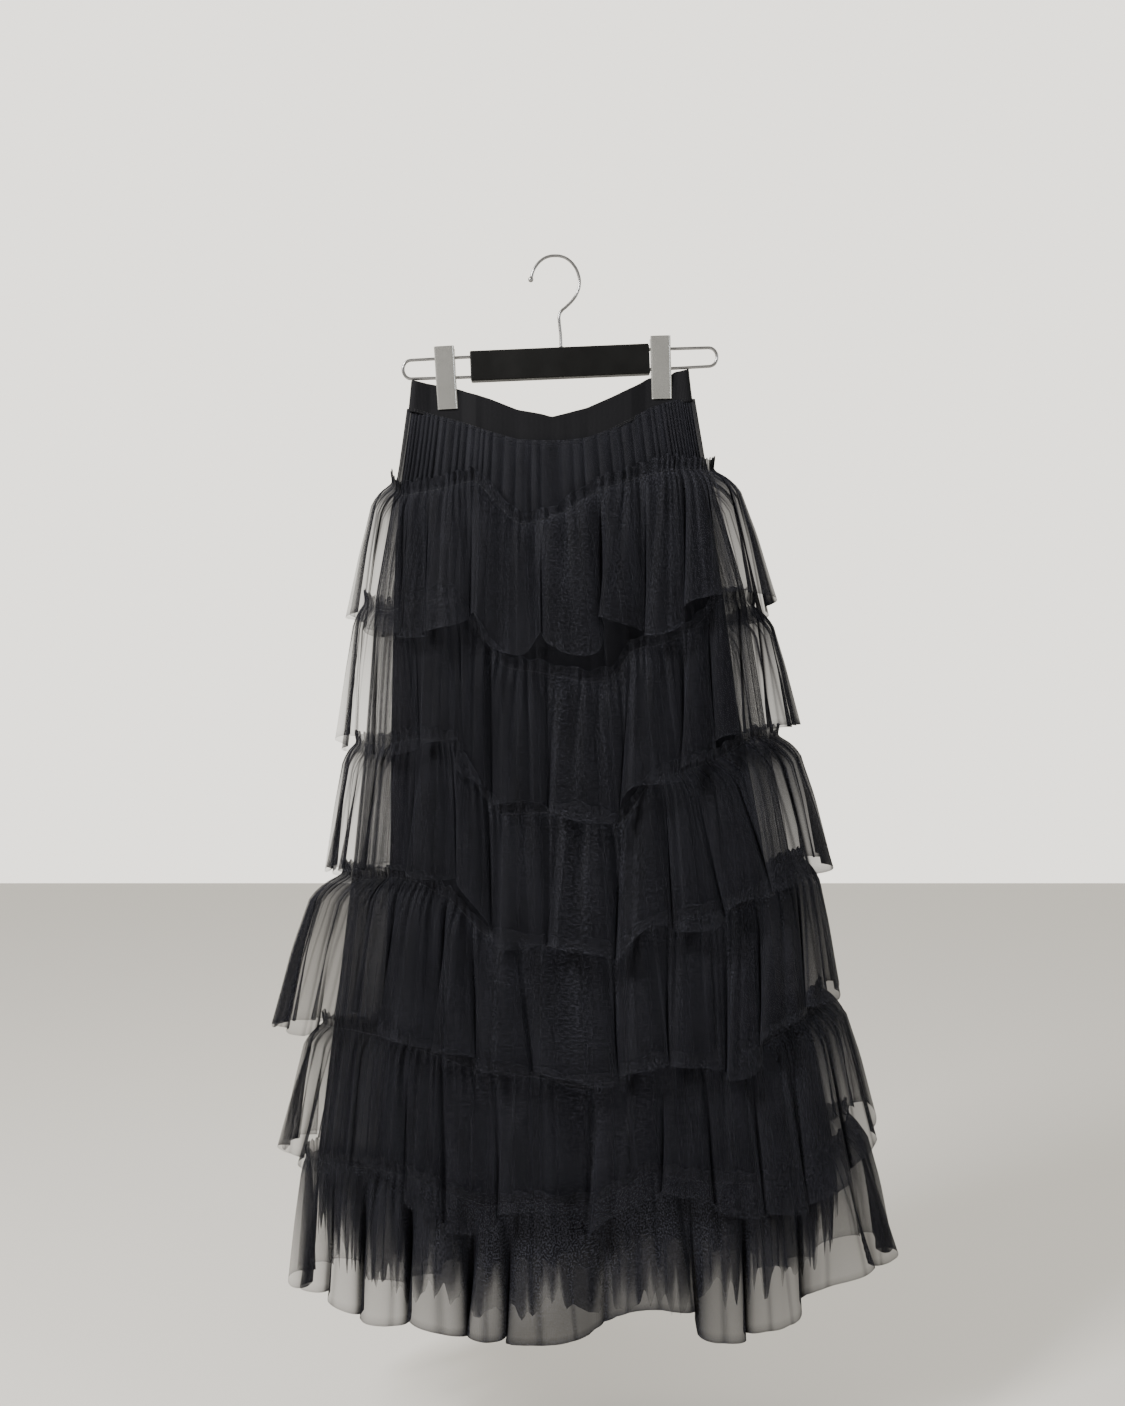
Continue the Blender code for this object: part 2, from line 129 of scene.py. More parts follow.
def make_world():
    world = bpy.data.worlds.new("pale_room")
    world.use_nodes = True
    tree = world.node_tree
    sky = tree.nodes["Background"]
    sky.inputs["Color"].default_value = (*ROOM_COLOUR, 1.0)
    towards = tree.nodes.new("ShaderNodeTexCoord")
    parts = tree.nodes.new("ShaderNodeSeparateXYZ")
    strength = tree.nodes.new("ShaderNodeMapRange")
    strength.interpolation_type = "SMOOTHSTEP"
    for name, value in (("From Min", FRONT_UP_TO), ("From Max", BEHIND_FROM),
                        ("To Min", SOFT_IN_FRONT), ("To Max", BRIGHT_BEHIND)):
        strength.inputs[name].default_value = value
    tree.links.new(towards.outputs["Generated"], parts.inputs["Vector"])
    tree.links.new(parts.outputs["Y"], strength.inputs["Value"])
    tree.links.new(strength.outputs["Result"], sky.inputs["Strength"])
    scene.world = world


def make_floor():
    mat = bpy.data.materials.new("pale_floor")
    mat.use_nodes = True
    shader = mat.node_tree.nodes["Principled BSDF"]
    shader.inputs["Base Color"].default_value = (*FLOOR_COLOUR, 1.0)
    shader.inputs["Roughness"].default_value = FLOOR_ROUGH
    body = bmesh.new()
    bmesh.ops.create_grid(body, x_segments=1, y_segments=1, size=FLOOR_HALF)
    mesh = mesh_of(body, "floor")
    mesh.transform(Matrix.Translation((0.0, 0.0, -FLOOR_DROP)))
    mesh.materials.append(mat)
    floor = add_object("floor", mesh)


def soft_lamp(name, place, aim, size, power, colour):
    lamp = bpy.data.lights.new(name, "AREA")
    lamp.shape = "RECTANGLE"
    lamp.size, lamp.size_y = size
    lamp.energy = power
    lamp.color = colour
    holder = add_object(name, lamp)
    holder.location = place
    holder.rotation_euler = (Vector(aim) - Vector(place)).to_track_quat("-Z", "Y").to_euler()


make_world()
make_floor()
soft_lamp("key", (-1.4, -1.2, 0.9), (0.0, 0.0, -0.4), (0.5, 0.7), 92.0, (1.0, 0.98, 0.95))
soft_lamp("fill", (1.7, -1.2, 0.1), (0.0, 0.0, -0.6), (0.5, 1.2), 12.0, (0.92, 0.96, 1.0))
print("studio ready")

# %% [markdown]
# ## Sizes of the skirt
# These tables are in millimetres. BODY is the hidden shape that the net hangs round: its edges
# and its depth in front and behind at each height. LINING is the opaque tube inside it, and BAND
# is the elastic waistband, which sags between the two clips.

# %% Body, lining and waistband sizes
BODY = np.array([
    (-120, -143, 131, 6.6, 6.6), (-165, -149, 139, 6.6, 6.6), (-223, -157, 149, 16, 10),
    (-345, -179, 187, 36, 14), (-485, -189, 210, 54, 16), (-615, -202, 234, 66, 18),
    (-760, -220, 252, 76, 20), (-893, -237, 278, 84, 22), (-925, -238, 280, 85, 22),
], float)
LINING = np.array([
    (-165, -144, 134, 2.8, 2.8), (-223, -153, 145, 9, 4.0), (-290, -160, 157, 19, 7),
    (-345, -162, 166, 27, 8), (-463, -164, 181, 42, 9.5), (-593, -165, 206, 54, 11),
    (-760, -172, 222, 62, 12.5), (-905, -180, 236, 68, 13.5),
], float)
BAND = np.array([
    (-144, -124, -155), (-121, -129, -162), (-98, -133, -168), (-66, -143, -179),
    (-38, -154, -187), (-15, -158, -188), (-4, -161, -188), (8, -158, -188),
    (31, -152, -185), (54, -142, -177), (77, -131, -165), (93, -122, -155),
    (114, -120, -148), (118, -116, -147), (132, -113, -145),
], float)
PLAN_POWER = 2.6


def column(table, at, k):
    """Column k of a table at heights `at`; tables run downwards."""
    return np.interp(at, table[::-1, 0], table[::-1, k])


print("skirt from", BAND[:, 1].max(), "to", BODY[-1, 0], "mm")

# %% [markdown]
# ## The ruffle lines
# Each ruffle is a strip of net gathered on to the skirt along a wavy line. For the front, each
# row says where the seam is and where the hem below it is, from left to right, as they look
# from the eye. The seam drops in steep steps, and a few stretches open like a fan, where the
# seam's points are close together and the hem's are far apart. SEAM_OFF and HEM_OFF say how
# much nearer than the body those lines are.

# %% Seam and hem as seen in front
SEEN = {
    1: [
        (-163, -225, -202, -357), (-151, -240, -162, -380), (-116, -233, -121, -373),
        (-78, -223, -74, -354), (-58, -248, -66, -393), (-36, -269, -41, -404),
        (-11, -263, -20, -369), (14, -251, 18, -394), (39, -235, 36, -393),
        (58, -228, 55, -357), (84, -221, 82, -380), (109, -214, 104, -384),
        (130, -213, 134, -347), (150, -214, 168, -331), (157, -213, 208, -351),
    ],
    2: [
        (-190, -345, -210, -480), (-164, -355, -163, -497), (-136, -346, -131, -482),
        (-101, -340, -99, -476), (-71, -383, -78, -518), (-51, -411, -57, -552),
        (-16, -415, -16, -551), (28, -426, 29, -565), (56, -423, 58, -567),
        (74, -393, 76, -528), (104, -388, 108, -524), (134, -375, 134, -511),
        (161, -343, 161, -478), (186, -343, 194, -475), (197, -355, 233, -470),
    ],
    3: [
        (-198, -485, -222, -605), (-168, -488, -179, -611), (-136, -481, -138, -614),
        (-101, -485, -94, -621), (-76, -533, -78, -668), (-56, -558, -51, -696),
        (-11, -555, -11, -686), (34, -558, 32, -693), (66, -571, 72, -713),
        (89, -528, 80, -669), (109, -519, 120, -671), (134, -511, 168, -661),
        (156, -503, 208, -640), (189, -481, 236, -611), (220, -478, 262, -595),
    ],
    4: [
        (-211, -615, -273, -763), (-184, -621, -226, -773), (-156, -619, -180, -747),
        (-136, -623, -148, -777), (-101, -643, -106, -795), (-71, -678, -64, -806),
        (-16, -688, -15, -814), (29, -693, 24, -834), (62, -695, 60, -826),
        (94, -668, 96, -811), (144, -658, 146, -813), (184, -648, 188, -811),
        (209, -628, 220, -773), (229, -605, 246, -746), (244, -599, 275, -727),
    ],
    5: [
        (-230, -763, -263, -878), (-198, -769, -222, -898), (-161, -778, -176, -901),
        (-138, -788, -144, -933), (-111, -799, -111, -960), (-86, -809, -73, -968),
        (-36, -818, -36, -955), (-4, -821, -4, -954), (26, -833, 23, -990),
        (59, -823, 59, -963), (94, -803, 94, -930), (139, -805, 141, -943),
        (184, -793, 192, -949), (229, -768, 246, -948), (262, -728, 308, -841),
    ],
    6: [
        (-247, -895, -251, -1010), (-211, -901, -214, -1020), (-171, -908, -176, -1046),
        (-136, -918, -136, -1051), (-106, -933, -106, -1066), (-66, -948, -64, -1090),
        (-26, -943, -24, -1084), (19, -948, 19, -1081), (56, -938, 58, -1076),
        (89, -913, 92, -1057), (134, -921, 139, -1068), (179, -923, 182, -1071),
        (219, -918, 224, -1051), (256, -893, 266, -1015), (288, -851, 322, -975),
    ],
}
BACK_DIP = 30.0
BACK_WAVE = 13.0
SEAM_OFF = 5.0
HEM_OFF = 34.0


def bring_forward(line, off):
    """Moves a line read from the eye, x and height, to where its nearer points really are."""
    x_seen, z_seen = line[:, 0].copy(), line[:, 1].copy()
    u = (x_seen - x_seen[0]) / (x_seen[-1] - x_seen[0]) * 2 - 1
    bow = np.sqrt(np.clip(1 - u * u, 0, 1))
    # A line's depth depends on its own height, so this settles in a few passes.
    for _ in range(6):
        near = 1 - (column(BODY, line[:, 1], 3) + off) * bow / EYE[2]
        line[:, 0] = EYE[0] + (x_seen - EYE[0]) * near
        line[:, 1] = EYE[1] + (z_seen - EYE[1]) * near
    return line


def plan_angle(x):
    """Where points between the first and last x lie on a squarish half circle, 0 to pi."""
    u = np.clip((x - x[0]) / (x[-1] - x[0]) * 2 - 1, -1, 1)
    return np.arccos(-np.sign(u) * np.abs(u) ** (PLAN_POWER / 2))


def soften(line, reach):
    """Rounds the corners of evenly stepped values, keeping both ends where they are."""
    window = np.hanning(2 * reach + 1)
    window /= window.sum()
    before, after = 2 * line[0] - line[reach:0:-1], 2 * line[-1] - line[-2:-reach - 2:-1]
    return np.convolve(np.concatenate([before, line, after]), window, "valid")


def front_lines(tier, steps):
    """Plan angles and heights of the seam and the hem at even steps along the hem."""
    table = np.array(SEEN[tier], float)
    seam, hem = bring_forward(table[:, :2], SEAM_OFF), bring_forward(table[:, 2:], HEM_OFF)
    seam_angle, hem_angle = plan_angle(seam[:, 0]), plan_angle(hem[:, 0])
    depth = column(BODY, hem[:, 1], 3) + HEM_OFF
    half = (hem[-1, 0] - hem[0, 0]) / 2
    fine = np.linspace(0, 1, 40)
    run = [0.0]
    for k in range(len(table) - 1):
        a = hem_angle[k] + (hem_angle[k + 1] - hem_angle[k]) * fine
        x, y = half * np.cos(a), (depth[k] + depth[k + 1]) / 2 * np.sin(a)
        run.append(run[-1] + np.hypot(np.diff(x), np.diff(y)).sum())
    run = np.array(run) / run[-1]
    at = np.linspace(0, 1, steps + 1)
    lines = [np.interp(at, run, v) for v in (seam_angle, seam[:, 1], hem_angle, hem[:, 1])]
    reach = max(2, steps // 45)
    lines = [soften(line, reach) for line in lines]
    ends = (seam[0, 0], seam[-1, 0], hem[0, 0], hem[-1, 0])
    return np.array(lines), ends


def back_lines(tier, steps, front):
    """The same for the back, which nothing shows: a plain dip with a few gentle waves."""
    at = np.linspace(0, 1, steps + 1)
    swing = np.sin(np.pi * at)
    sway = -BACK_DIP * swing + BACK_WAVE * np.sin(np.pi * (5 * at + tier)) * swing
    angle = np.pi * at
    seam = front[1, 0] + (front[1, -1] - front[1, 0]) * at + sway
    hem = front[3, 0] + (front[3, -1] - front[3, 0]) * at + sway
    return np.array([angle, seam, angle, hem])


print("ruffles:", len(SEEN))

# %% [markdown]
# ## Folds
# Gathered net starts as many small pleats at the seam. Lower down the small ones die out and a
# few large pipes are left, of uneven width. So three sets of waves are added: fine, middle and
# large, each with its own strength down the strip. A fold's outside is round and broad and the
# valley beside it narrow, and near the hem the pipe's sides lean over the valley.

# %% Uneven folds round a ring
RING_STEPS = 1240
HALF = RING_STEPS // 2
RING = np.arange(RING_STEPS) / RING_STEPS
SIDES = ((True, slice(0, HALF)), (False, slice(HALF, RING_STEPS)))
PIPE_LEVEL = 0.7


def uneven_phase(count, seed, spread=0.45):
    """A fold number that grows by `count` round the ring, with folds of uneven width."""
    rng = np.random.default_rng(seed)
    widths = rng.uniform(1 - spread, 1 + spread, count)
    edges = np.concatenate([[0], np.cumsum(widths)]) / widths.sum()
    return np.interp(RING, edges, np.arange(count + 1))


def fold_strength(phase, count, seed, low, high, blend=0.5):
    """A strength for each fold, blended near its edges over a share `blend` of its width."""
    rng = np.random.default_rng(seed)
    strength = rng.uniform(low, high, count)
    k = np.floor(phase).astype(int)
    part = phase - k
    share = np.clip((np.abs(part - 0.5) - 0.5 + blend) / (2 * blend), 0, 0.5)
    here = strength[k % count]
    beside = strength[(k + np.sign(part - 0.5).astype(int)) % count]
    return here * (1 - share) + beside * share


def pipe(phase, sharp=0.75):
    """A round ridge with a narrow valley, from about -0.7 in the valley to 0.3 on the ridge."""
    return (np.abs(np.sin(np.pi * phase)) + 0.01) ** sharp - PIPE_LEVEL


def crease(phase, width=0.045):
    """Extra net in the sharp pleat between two folds."""
    off = np.abs(phase - np.round(phase))
    return np.exp(-(off / width) ** 2)


def down_curve(rows, pairs):
    """Values down a strip from a short list of (share, value), with soft bends."""
    keys = np.array(pairs, float)
    dense = np.linspace(keys[0, 0], keys[-1, 0], 161)
    values = soften(np.interp(dense, keys[:, 0], keys[:, 1]), 5)
    return np.interp(rows, dense, values)


print("steps round a ring:", RING_STEPS)

# %% [markdown]
# ## From plan to net
# A point's place in plan is on a squarish ring: the front half as deep as the body in front, the
# back half flatter. From there it moves out along the ring's own normal by the strip's
# stand-off and the folds, and along the ring by the lean of the pipes.
#
# Net looks darker where it is bunched. For each row we know how much net was gathered into it,
# and a fold's side holds the more of it the more steeply it stands off the ring. So each point
# gets a number, `bunch`, for how many plain layers lie there. The net's material turns it into
# how much light is stopped.
# On the ruffles `bunch` also carries painted shade: the net is made denser where the skirt should
# look darker.

# %% Ring of cloth
STEEPEST = 0.22
FEWEST_LAYERS, MOST_LAYERS = 0.5, 14.0
KERNEL = np.array([1, 2, 3, 2, 1]) / 9.0


def ring_points(angle, left, right, heights, table, front, out, along):
    """Points in metres; angle runs 0 to pi from the left edge to the right one."""
    power = 2 / PLAN_POWER
    side = -1.0 if front else 1.0
    depth = column(table, heights, 3 if front else 4)
    cos, sin = -np.cos(angle), np.clip(np.sin(angle), 0, 1)
    u, bow = np.sign(cos) * np.abs(cos) ** power, sin ** power
    half = (right - left) / 2
    nx = np.sign(u) * np.abs(u) ** (PLAN_POWER - 1) / half
    ny = side * bow ** (PLAN_POWER - 1) / np.maximum(depth, 1.0)
    size = np.hypot(nx, ny)
    nx, ny = nx / size, ny / size
    x = (left + right) / 2 + half * u + out * nx - along * ny
    y = side * depth * bow + out * ny + along * nx
    return np.stack([x, y, heights], -1) * MM


def ring_mesh(name, grid, flat_length, flat_rows, bunch=None):
    """A closed ring of quads from grid[row, step], with a UV map of the flat cloth in metres."""
    rows, steps = grid.shape[:2]
    mesh = bpy.data.meshes.new(name)
    k = np.arange(rows - 1)[:, None] * steps
    j = np.arange(steps)[None, :]
    nxt = (j + 1) % steps
    quads = np.stack([k + j, k + steps + j, k + steps + nxt, k + nxt], -1).reshape(-1, 4)
    mesh.from_pydata(grid.reshape(-1, 3).tolist(), [], quads.tolist())
    uv = mesh.uv_layers.new(name="cut")
    u = np.arange(steps + 1) / steps * flat_length
    us = np.stack([u[:-1], u[:-1], u[1:], u[1:]], -1)
    us = np.broadcast_to(us, (rows - 1, steps, 4))
    v = np.asarray(flat_rows)
    vs = np.stack([v[:-1], v[1:], v[1:], v[:-1]], -1)[:, None, :]
    vs = np.broadcast_to(vs, (rows - 1, steps, 4))
    uv.data.foreach_set("uv", np.stack([us, vs], -1).reshape(-1).astype(np.float32))
    if bunch is not None:
        layer = mesh.attributes.new("bunch", "FLOAT", "POINT")
        layer.data.foreach_set("value", bunch.reshape(-1).astype(np.float32))
    mesh.shade_smooth()
    return mesh


def gathered_layers(grid, plain, ratio):
    """How many plain layers lie at each point: more where a fold's side stands off the ring."""
    step = (np.roll(grid, -1, 1) - grid)[..., :2]
    level = (np.roll(plain, -1, 1) - plain)[..., :2]
    length = np.maximum(np.linalg.norm(step, axis=-1), 1e-7)
    level /= np.maximum(np.linalg.norm(level, axis=-1, keepdims=True), 1e-7)
    steep = length / np.maximum(np.abs((step * level).sum(-1)), STEEPEST * length)
    steep = sum(w * np.roll(steep, s, 1) for w, s in zip(KERNEL, range(-2, 3)))
    steep /= steep.mean(1, keepdims=True)
    return np.clip(ratio * steep, FEWEST_LAYERS, MOST_LAYERS)


def girth(row):
    """The length round a closed row of points."""
    return float(np.linalg.norm(np.roll(row, -1, 0) - row, axis=1).sum())


def place(name, mesh, material, slot, nodes):
    """Puts a finished piece into the scene and says what it rides on and replaces."""
    thing = add_object(name, mesh)
    mesh.materials.clear()
    mesh.materials.append(material)
    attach(thing, "root")
    if nodes:
        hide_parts(*nodes)
    return thing


def area_of(mesh):
    body = bmesh.new()
    body.from_mesh(mesh)
    total = sum(face.calc_area() for face in body.faces)
    body.free()
    return total


print("ring tools ready")

# %% [markdown]
# ## Materials of the cloth
# Tulle is a net of six-sided holes a little over a millimetre across. One layer stops about a
# fifth of the light, so the material's alpha is one minus what is left after `bunch` such layers.
# The net's own threads are drawn over it from the flat cut's UV map, so they follow the cloth.
# The threads are a soft black with painted glints: small lighter specks in the base colour.

# %% Cloth materials
ONE_LAYER = 0.2
HOLE = 0.0013
RIB_SCALE = 0.5 / 0.0022


class Tree:
    """A short way to write shader nodes: make one, link it, and go on."""

    def __init__(self, name, **fixed):
        self.mat = bpy.data.materials.new(name)
        self.mat.use_nodes = True
        self.tree = self.mat.node_tree
        self.shader = self.tree.nodes["Principled BSDF"]
        for key, value in fixed.items():
            self.shader.inputs[key.replace("_", " ")].default_value = value

    def feed(self, socket, value):
        if hasattr(value, "is_output"):
            self.tree.links.new(value, socket)
        else:
            socket.default_value = value

    def node(self, kind, **inputs):
        made = self.tree.nodes.new(kind)
        for key, value in inputs.items():
            self.feed(made.inputs[key.replace("_", " ")], value)
        return made

    def cut(self):
        """The place on the flat cut of the cloth."""
        uv = self.tree.nodes.new("ShaderNodeUVMap")
        uv.uv_map = "cut"
        return uv.outputs["UV"]

    def spot(self):
        """The place on the object itself."""
        return self.node("ShaderNodeTexCoord").outputs["Object"]

    def noise(self, where, scale, detail):
        made = self.node("ShaderNodeTexNoise", Vector=where, Scale=scale, Detail=detail)
        return made.outputs["Fac"]

    def math(self, kind, a, b):
        made = self.tree.nodes.new("ShaderNodeMath")
        made.operation = kind
        self.feed(made.inputs[0], a)
        self.feed(made.inputs[1], b)
        return made.outputs[0]

    def ramp(self, fac, low, high):
        made = self.node("ShaderNodeMapRange", Value=fac, To_Min=low, To_Max=high)
        return made.outputs["Result"]

    def colour(self, fac, dark, light):
        """The base colour, from dark to light."""
        made = self.tree.nodes.new("ShaderNodeMix")
        made.data_type = "RGBA"
        self.tree.links.new(fac, made.inputs[0])
        made.inputs[6].default_value = (*dark, 1.0)
        made.inputs[7].default_value = (*light, 1.0)
        self.link(made.outputs[2], "Base Color")

    def link(self, output, name):
        self.tree.links.new(output, self.shader.inputs[name])

    def bump(self, height, strength, distance):
        made = self.node("ShaderNodeBump", Height=height, Strength=strength, Distance=distance)
        self.link(made.outputs["Normal"], "Normal")


def make_tulle():
    t = Tree("black_tulle", Roughness=0.7, Specular_IOR_Level=0.08)
    cut = t.cut()
    holes = t.node("ShaderNodeTexVoronoi", Vector=cut, Scale=1 / HOLE, Randomness=0.25)
    holes.feature = "DISTANCE_TO_EDGE"
    thread = t.ramp(t.math("SMOOTH_MIN", holes.outputs["Distance"], 0.22), 1.35, 0.55)
    bunch = t.tree.nodes.new("ShaderNodeAttribute")
    bunch.attribute_name = "bunch"
    layers = t.math("MULTIPLY", bunch.outputs["Fac"], thread)
    passed = t.math("POWER", 1 - ONE_LAYER, layers)
    t.link(t.math("SUBTRACT", 1.0, passed), "Alpha")
    cloud = t.ramp(t.noise(cut, 22.0, 3.0), 1.5, 11.0)
    # painted glints: fine specks of lighter base colour, stronger where the random cloud is high
    painted_glint = t.math("POWER", t.noise(cut, 560.0, 1.0), 4.0)
    t.colour(t.math("MULTIPLY", painted_glint, cloud), (0.0014, 0.0015, 0.0021),
             (0.0245, 0.0252, 0.033))
    return t.mat


def make_lining_cloth():
    t = Tree("black_lining", Specular_IOR_Level=0.06)
    cut = t.cut()
    broad = t.noise(cut, 14.0, 3.0)
    t.colour(broad, (0.002, 0.002, 0.0025), (0.005, 0.005, 0.006))
    t.link(t.ramp(broad, 0.55, 0.7), "Roughness")
    t.bump(t.noise(cut, 900.0, 2.0), 0.25, 0.0002)
    return t.mat


def make_elastic():
    t = Tree("ribbed_elastic", Specular_IOR_Level=0.10)
    cut = t.cut()
    ribs = t.node("ShaderNodeTexWave", Vector=cut, Scale=RIB_SCALE, Distortion=0.4, Detail=1.0)
    ribs.bands_direction = "X"
    fuzz = t.noise(cut, 500.0, 3.0)
    t.colour(fuzz, (0.004, 0.004, 0.005), (0.010, 0.010, 0.012))
    t.link(t.ramp(fuzz, 0.6, 0.85), "Roughness")
    t.bump(t.math("ADD", ribs.outputs["Fac"], t.math("MULTIPLY", fuzz, 0.5)), 0.35, 0.0003)
    return t.mat


def make_thread():
    t = Tree("black_thread", Roughness=0.55)
    t.colour(t.noise(t.spot(), 1500.0, 2.0), (0.008, 0.008, 0.009), (0.030, 0.030, 0.034))
    return t.mat


TULLE, LINING_CLOTH = make_tulle(), make_lining_cloth()
ELASTIC, THREAD = make_elastic(), make_thread()
print("cloth materials:", TULLE.name, LINING_CLOTH.name, ELASTIC.name, THREAD.name)

# %% [markdown]
# ## The six ruffles
# A real ruffle is one long strip of net sewn round the skirt and joined at its ends. Its raw
# upper edge stands up past the gathering stitches as a small frill, the heading. Here each ruffle
# is one ring, from the heading down through the seam and the rounded shoulder to the hem.
#
# The lists of pairs say how something changes down the strip: the first number is 0 at the seam
# and 1 at the hem, the second a share or a size in millimetres. FOLDS holds what differs from
# ruffle to ruffle: the number of large folds, their size, how round they are, how far they lean
# over a valley, how far they tip to one side, how far out the hem stands, how uneven its length
# is and how sudden its steps, how dark the pleats are, and how many layers of net there are.

# %% Ruffles
ROWS = np.array([
    -0.095, -0.078, -0.06, -0.042, -0.026, -0.012, 0.0, 0.012, 0.028, 0.05, 0.08, 0.12, 0.17,
    0.23, 0.30, 0.38, 0.46, 0.55, 0.64, 0.73, 0.81, 0.88, 0.94, 0.98, 1.0,
])
HEADING_ROWS = -0.05
SPREAD = [(-0.1, 0.02), (0.0, 0.0), (0.06, 0.26), (0.15, 0.48), (0.5, 0.74), (1.0, 1.0)]
STAND_OFF = [(-0.1, 9.5), (-0.03, 6.2), (0.0, 5.0), (0.04, 8.5), (0.15, 13.5), (0.5, 21.0),
             (1.0, 34.0)]
STAND_OFF_BACK = [(-0.1, 9.5), (-0.03, 6.0), (0.0, 4.9), (0.04, 8.0), (0.15, 12.0),
                  (0.5, 18.0), (1.0, 28.0)]
LARGE = [(-0.1, 0.6), (0.0, 0.5), (0.15, 6.0), (0.5, 11.5), (1.0, 16.0)]
MIDDLE_SET = [(-0.1, 0.8), (0.0, 0.8), (0.06, 3.2), (0.2, 3.8), (0.5, 2.6), (1.0, 1.5)]
FINE = [(-0.1, 3.4), (-0.04, 2.6), (0.0, 1.2), (0.05, 2.4), (0.15, 1.6), (0.35, 0.7),
        (1.0, 0.25)]
GATHERED = [(-0.1, 2.6), (-0.03, 3.4), (0.0, 5.0), (0.03, 3.4), (0.15, 2.2), (0.5, 1.9),
            (0.97, 1.75), (1.0, 3.0)]
CURVES = [down_curve(ROWS, pairs) for pairs in
          (SPREAD, STAND_OFF, STAND_OFF_BACK, LARGE, MIDDLE_SET, FINE)]
MIDDLE_PER_LARGE, FINE_PER_LARGE = 2.3, 5.2
FRILLS, FRILL_HEIGHT = 70, 3.0
BACK_SIZE, SIDE_SIZE = 0.72, 0.45
SMALL_GATHERS = 1.18
# Painted shade across the skirt: places in x, in metres, and a share of net at each.
# Denser net darkens the right side, and on the last ruffle the middle of the hem.
SHADE_ACROSS = ((-0.25, 0.0, 0.15, 0.25), (0.75, 1.0, 1.3, 2.3))
SHADE_ACROSS_HEM = ((-0.27, -0.15, -0.05, 0.1, 0.2, 0.27), (0.22, 0.5, 1.0, 1.0, 0.6, 0.5))
BACK_DENSITY = 0.6

Folds = namedtuple("Folds", "count size rounding overhang tip further play step crease layers")
FOLDS = {
    1: Folds(23, 1.0, 0.5, 0.5, 0.8, 1.0, 7.0, 0.4, 1.1, 1.45),
    2: Folds(25, 1.0, 0.5, 0.5, 0.8, 1.0, 7.0, 0.4, 1.1, 1.15),
    3: Folds(27, 1.05, 0.5, 0.5, 0.8, 1.0, 8.0, 0.4, 1.1, 1.4),
    4: Folds(30, 1.1, 0.55, 0.5, 0.8, 1.0, 8.0, 0.35, 1.0, 1.7),
    5: Folds(31, 1.2, 0.6, 0.48, 0.7, 1.02, 9.0, 0.3, 0.9, 1.4),
    6: Folds(28, 2.05, 0.95, 0.34, 0.2, 1.12, 12.0, 0.12, 0.5, 6.2),
}


